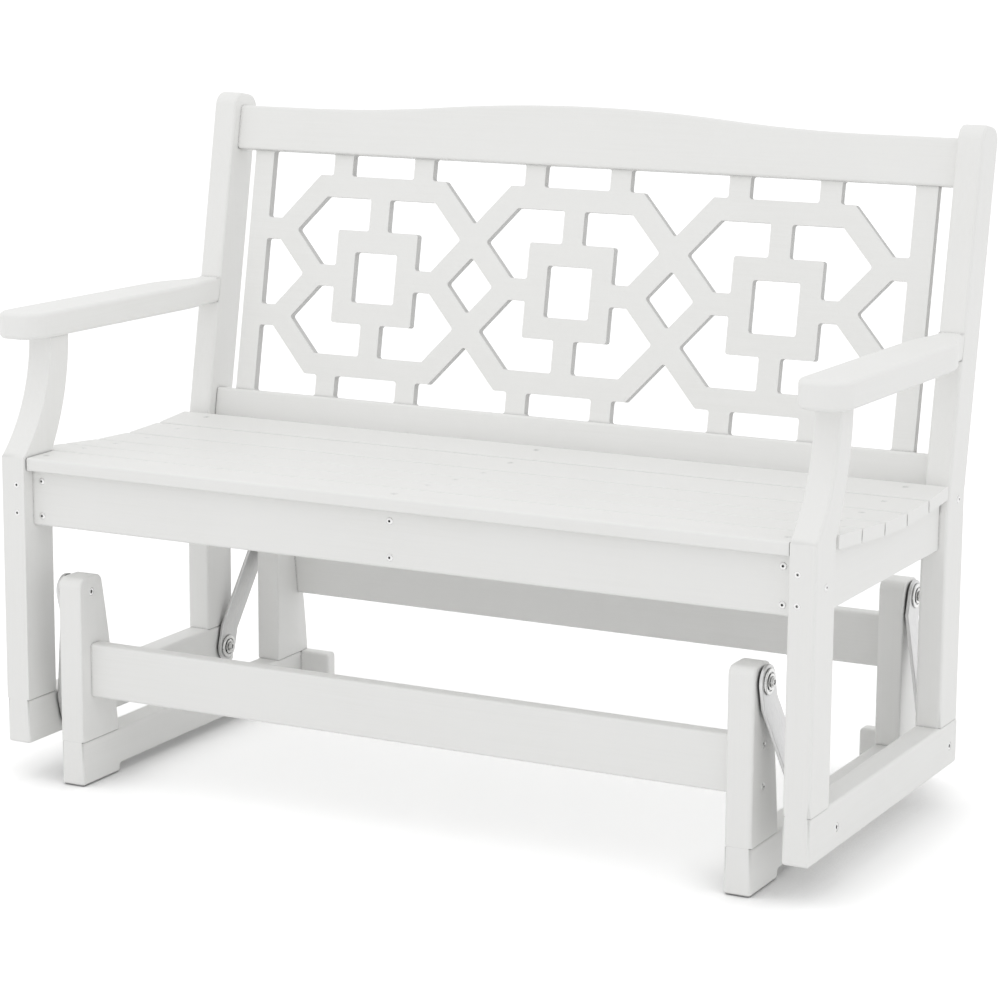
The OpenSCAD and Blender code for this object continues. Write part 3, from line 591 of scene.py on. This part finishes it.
def nut_rings(length, r, bore, crown):
    """A lock nut: chamfered flats, a round collar and a bore."""
    flat = 1.3 * r * math.cos(math.pi / 6)
    collar = 0.84 * flat
    return [(0, 0.93 * flat), (-0.0004, hexagon(flat)), (-0.60 * length, hexagon(flat)),
            (-0.66 * length, hexagon(flat, 0.98 * flat)), (-0.68 * length, collar),
            (-0.94 * length, collar), (-length, 0.9 * collar), (-length, bore + 0.0009),
            (-length + 0.0003, bore + 0.0004), (-0.0003, bore), (0, bore + 0.0003)]


def washer_rings(length, r, bore, crown):
    """A washer with soft rims."""
    soft = min(0.0003, 0.3 * length)
    return [(0, r - soft), (-soft, r), (soft - length, r), (-length, r - soft),
            (-length, bore + soft), (soft - length, bore), (-soft, bore), (0, bore + soft)]


def bearing_rings(length, r, bore, crown):
    """A flanged bearing: a wide flange, a sunk ring round the race and the inner ring."""
    body, flange, wide = 0.012, 0.003, 1.25 * r
    groove = 0.88 * r
    inner = max(bore + 0.0016, 0.62 * r)
    return [(-0.0014, wide), (-0.0006, wide - 0.0003), (-0.0001, wide - 0.0011),
            (0, wide - 0.0024), (-0.0001, groove + 0.0006), (-0.0012, groove),
            (-0.0012, inner + 0.0004), (-0.0002, inner), (-0.0002, bore + 0.0003),
            (-0.0005, bore), (0.0003 - length, bore), (-length, bore + 0.0003),
            (-length, body - 0.0004), (0.0004 - length, body), (-flange, body),
            (-flange, wide - 0.0004), (-flange + 0.0004, wide)]


def crown_at(place, crown):
    """A head's crown: none where it faces down, and level where it would leave the bench's box."""
    faces_down = place.col[2].z < -0.9
    if faces_down:
        return 0.0
    tip = place @ Vector((0, 0, crown))
    boxed = all(low <= value <= high for low, value, high in zip(CAD_BOX[0], tip, CAD_BOX[1]))
    return crown if boxed else min(crown, FLUSH)


def turned_piece(node, rings_of, sides, closed=False, crown=0.0):
    """Replaces a node's plain fasteners by turned ones in the same places."""
    bm = bmesh.new()
    for points in loose_parts(node):
        place, length, radius, bore = seat_of(points)
        lathe(bm, place, rings_of(length, radius, bore, crown_at(place, crown)), sides, closed)
    bmesh.ops.recalc_face_normals(bm, faces=bm.faces)
    return finished_piece(bm, node, "turned", "steel")


# The bench's groups of pieces


class GLIDER_OT_base(bpy.types.Operator):
    """Eases the runners, uprights and foot blocks and finishes the cross rails"""

    bl_idname = "glider.base"
    bl_label = "Base"

    def execute(self, context):
        edges = context.scene.glider_edges
        low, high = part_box("right_runner")
        front_top = within(at(Y, low.y), at(Z, high.z))
        foot = within(at(Z, high.z))
        for side, sign in SIDES.items():
            beside = within(at(X, sign * low.x))
            eased_piece(f"{side}_runner", edges.board_edge, along=Y, across=ACROSS, ends=True,
                        joints=(front_top,))
            eased_piece(f"{side}_foot_block", edges.board_edge, along=X, across=BACKWARDS,
                        joints=(beside,))
            for end in ENDS:
                eased_piece(f"{end}_{side}_upright", edges.board_edge, along=Z, across=ACROSS,
                            joints=(foot,), seam=edges.seam_edge)
        for end in ENDS:
            finish_board(f"{end}_cross_rail", along=X)
        return {"FINISHED"}


class GLIDER_OT_frame(bpy.types.Operator):
    """Eases the bench's legs, posts, bottom rails and armrests and finishes the seat's rails"""

    bl_idname = "glider.frame"
    bl_label = "Bench frame"

    def execute(self, context):
        edges = context.scene.glider_edges
        low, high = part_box("right_bottom_rail")
        leg_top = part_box("right_front_leg")[1].z
        arm_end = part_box("right_armrest")[1].y
        front_top = within(at(Y, low.y), at(Z, high.z))
        foot = within(at(Z, high.z))
        under_arm = within((Z, leg_top - LEG_HOUSING, leg_top + NEAR))
        at_post = within((Y, arm_end - ARM_HOUSING, arm_end + NEAR))
        for side in SIDES:
            eased_piece(f"{side}_bottom_rail", edges.board_edge, along=Y, across=ACROSS,
                        ends=True, joints=(front_top,))
            eased_piece(f"{side}_front_leg", edges.board_edge, along=Z, across=ACROSS,
                        joints=(foot, under_arm))
            eased_piece(f"{side}_rear_post", edges.board_edge, along=Z, across=ACROSS,
                        joints=(foot,))
            eased_piece(f"{side}_armrest", edges.arm_edge, along=Y,
                        across=face_direction(f"{side}_armrest"), joints=(at_post,),
                        segments=5, clamp=False, setback=edges.arm_setback)
            finish_board(f"{side}_seat_rail", along=Y)
        for place in ("left", "centre", "right"):
            finish_board(f"{place}_seat_bearer", along=Y)
        finish_board("front_apron", along=X)
        finish_board("rear_seat_rail", along=X)
        return {"FINISHED"}


class GLIDER_OT_seat(bpy.types.Operator):
    """Finishes the nose slat and the five seat slats"""

    bl_idname = "glider.seat"
    bl_label = "Seat slats"

    def execute(self, context):
        finish_board("nose_slat", along=X)
        for i in range(1, 6):
            finish_board(f"seat_slat_{i}", along=X)
        return {"FINISHED"}


class GLIDER_OT_back(bpy.types.Operator):
    """Eases the crest rail, the fretwork panel and the lower back rail's ends"""

    bl_idname = "glider.back"
    bl_label = "Back"

    def execute(self, context):
        edges = context.scene.glider_edges
        square = face_direction("fretwork_panel")
        at_posts = [within(at(X, corner.x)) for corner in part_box("crest_rail")]
        eased_piece("crest_rail", edges.board_edge, along=X, across=square, joints=at_posts,
                    seam=edges.seam_edge)
        panel = eased_piece("fretwork_panel", edges.panel_edge, along=X, across=square)
        # Painted shade: the faces side-on to the panel, its cut walls, get a darker copy of the
        # lumber.
        shade = context.scene.glider_finish.wall_shade
        panel.data.materials.append(lumber_material("Fretwork walls", X, shade))
        for face in panel.data.polygons:
            is_wall = abs(face.normal.dot(square)) < 0.5
            face.material_index = int(is_wall)
        eased_piece("lower_back_rail", edges.seam_edge, along=X, across=ACROSS, segments=2)
        return {"FINISHED"}


class GLIDER_OT_links(bpy.types.Operator):
    """Eases the four steel links and turns their bearings"""

    bl_idname = "glider.links"
    bl_label = "Links and bearings"

    def execute(self, context):
        edge = context.scene.glider_edges.link_edge
        for end in ENDS:
            for side in SIDES:
                eased_piece(f"{end}_{side}_link", edge, slot="link_steel", segments=2)
                turned_piece(f"{end}_{side}_bearings", bearing_rings, sides=64, closed=True)
        return {"FINISHED"}


class GLIDER_OT_fasteners(bpy.types.Operator):
    """Turns the bolts, washers, lock nuts and screws"""

    bl_idname = "glider.fasteners"
    bl_label = "Fasteners"

    def execute(self, context):
        for level in ("upper", "lower"):
            turned_piece(f"{level}_pivot_bolts", bolt_rings, sides=36)
            turned_piece(f"{level}_washers", washer_rings, sides=48, closed=True)
            turned_piece(f"{level}_lock_nuts", nut_rings, sides=36, closed=True)
        crown = context.scene.glider_edges.head_crown
        turned_piece("base_screws", screw_rings, sides=36, crown=crown)
        turned_piece("frame_screws", screw_rings, sides=36, crown=crown)
        turned_piece("slat_screws", screw_rings, sides=36)
        return {"FINISHED"}


# The stage


def lay_floor(settings):
    """A white floor that keeps its shadows, with a painted shadow darkest near the feet, and is
    pure white round them.
    """
    material, sh = new_material("Studio floor")
    plain, lifted = (sh.node("ShaderNodeBsdfPrincipled", None, {
        "Base Color": grey(settings.floor_shade),
        "Roughness": 0.9,
        "Specular IOR Level": 0.0,
        "Emission Color": grey(1.0),
        "Emission Strength": lift}) for lift in (0.0, settings.floor_lift))
    # Painted shadow: where much stands near, the floor loses its lift, so it darkens near the feet.
    clear = sh.open_share(samples=8, reach=settings.contact_reach, low=0.47, high=0.82)
    seen = sh.node("ShaderNodeMixShader", None, {0: clear, 1: plain, 2: lifted})
    mixed = sh.node("ShaderNodeMixShader", None, {0: sh.seen_directly(), 1: plain, 2: seen})
    sh.node("ShaderNodeOutputMaterial", None, {"Surface": mixed})
    bm = bmesh.new()
    bmesh.ops.create_grid(bm, x_segments=8, y_segments=8, size=FLOOR_HALF)
    mesh = bpy.data.meshes.new("studio_floor")
    bm.to_mesh(mesh)
    bm.free()
    mesh.materials.append(material)
    floor = bpy.data.objects.new("studio_floor", mesh)
    floor.location.z = -FLOOR_DROP
    bpy.context.scene.collection.objects.link(floor)


def light_world(settings):
    """Even light from all round, behind which the camera sees pure white."""
    world = bpy.data.worlds.new("Studio")
    bpy.context.scene.world = world
    world.use_nodes = True
    sh = Shader(world.node_tree)
    around, white = (sh.node("ShaderNodeBackground", None, {"Color": grey(1.0), "Strength": power})
                     for power in (settings.ambient, 1.0))
    mixed = sh.node("ShaderNodeMixShader", None, {0: sh.seen_directly(), 1: around, 2: white})
    sh.node("ShaderNodeOutputWorld", None, {"Surface": mixed})


def hang_lamp(settings):
    """A large soft lamp over the bench, a little to the front left."""
    data = bpy.data.lights.new("key_lamp", "AREA")
    data.shape = "DISK"
    data.size = 2.6
    data.energy = settings.key_power
    lamp = bpy.data.objects.new("key_lamp", data)
    lamp.location = (-1.2, -1.6, 3.4)
    bench_middle = Vector((0, 0, 0.4))
    lamp.rotation_euler = (bench_middle - lamp.location).to_track_quat("-Z", "Y").to_euler()
    bpy.context.scene.collection.objects.link(lamp)


def place_camera():
    """The photograph's viewpoint, solved from the bench's straight edges."""
    data = bpy.data.cameras.new("Camera")
    data.sensor_width = 36.0
    data.lens = 116.55
    data.shift_x = 0.10372
    data.shift_y = -0.00048
    data.clip_end = 100.0
    camera = bpy.data.objects.new("Camera", data)
    camera.location = (2.07595, -4.05891, 1.35354)
    tilt, turn = 0.2022, 0.5033
    camera.rotation_euler = (math.pi / 2 - tilt, 0.0, turn)
    bpy.context.scene.collection.objects.link(camera)
    bpy.context.scene.camera = camera
    bpy.context.scene.view_settings.view_transform = "Standard"


class GLIDER_OT_stage(bpy.types.Operator):
    """Lays the floor and sets the lamp, the world and the camera"""

    bl_idname = "glider.stage"
    bl_label = "Stage"

    def execute(self, context):
        settings = context.scene.glider_stage
        lay_floor(settings)
        light_world(settings)
        hang_lamp(settings)
        place_camera()
        return {"FINISHED"}


class GLIDER_PT_panel(bpy.types.Panel):
    """Lists the bench's groups of pieces and their settings"""

    bl_idname = "GLIDER_PT_panel"
    bl_label = "Glider bench"
    bl_space_type = "VIEW_3D"
    bl_region_type = "UI"
    bl_category = "Glider bench"

    def draw(self, context):
        layout = self.layout
        for operator in OPERATORS:
            layout.operator(operator.bl_idname)
        for name in GROUPS:
            group = getattr(context.scene, name)
            for setting in group.__annotations__:
                layout.prop(group, setting)


OPERATORS = (GLIDER_OT_base, GLIDER_OT_frame, GLIDER_OT_seat, GLIDER_OT_back, GLIDER_OT_links,
             GLIDER_OT_fasteners, GLIDER_OT_stage)
GROUPS = {"glider_finish": FinishSettings, "glider_edges": EdgeSettings,
          "glider_stage": StageSettings}


def register():
    for cls in (*GROUPS.values(), *OPERATORS, GLIDER_PT_panel):
        bpy.utils.register_class(cls)
    for name, cls in GROUPS.items():
        setattr(bpy.types.Scene, name, bpy.props.PointerProperty(type=cls))


def unregister():
    for name in GROUPS:
        delattr(bpy.types.Scene, name)
    for cls in (GLIDER_PT_panel, *reversed(OPERATORS), *GROUPS.values()):
        bpy.utils.unregister_class(cls)


def main():
    register()
    for operator in OPERATORS:
        group, name = operator.bl_idname.split(".")
        getattr(getattr(bpy.ops, group), name)()


if __name__ == "__main__":
    main()
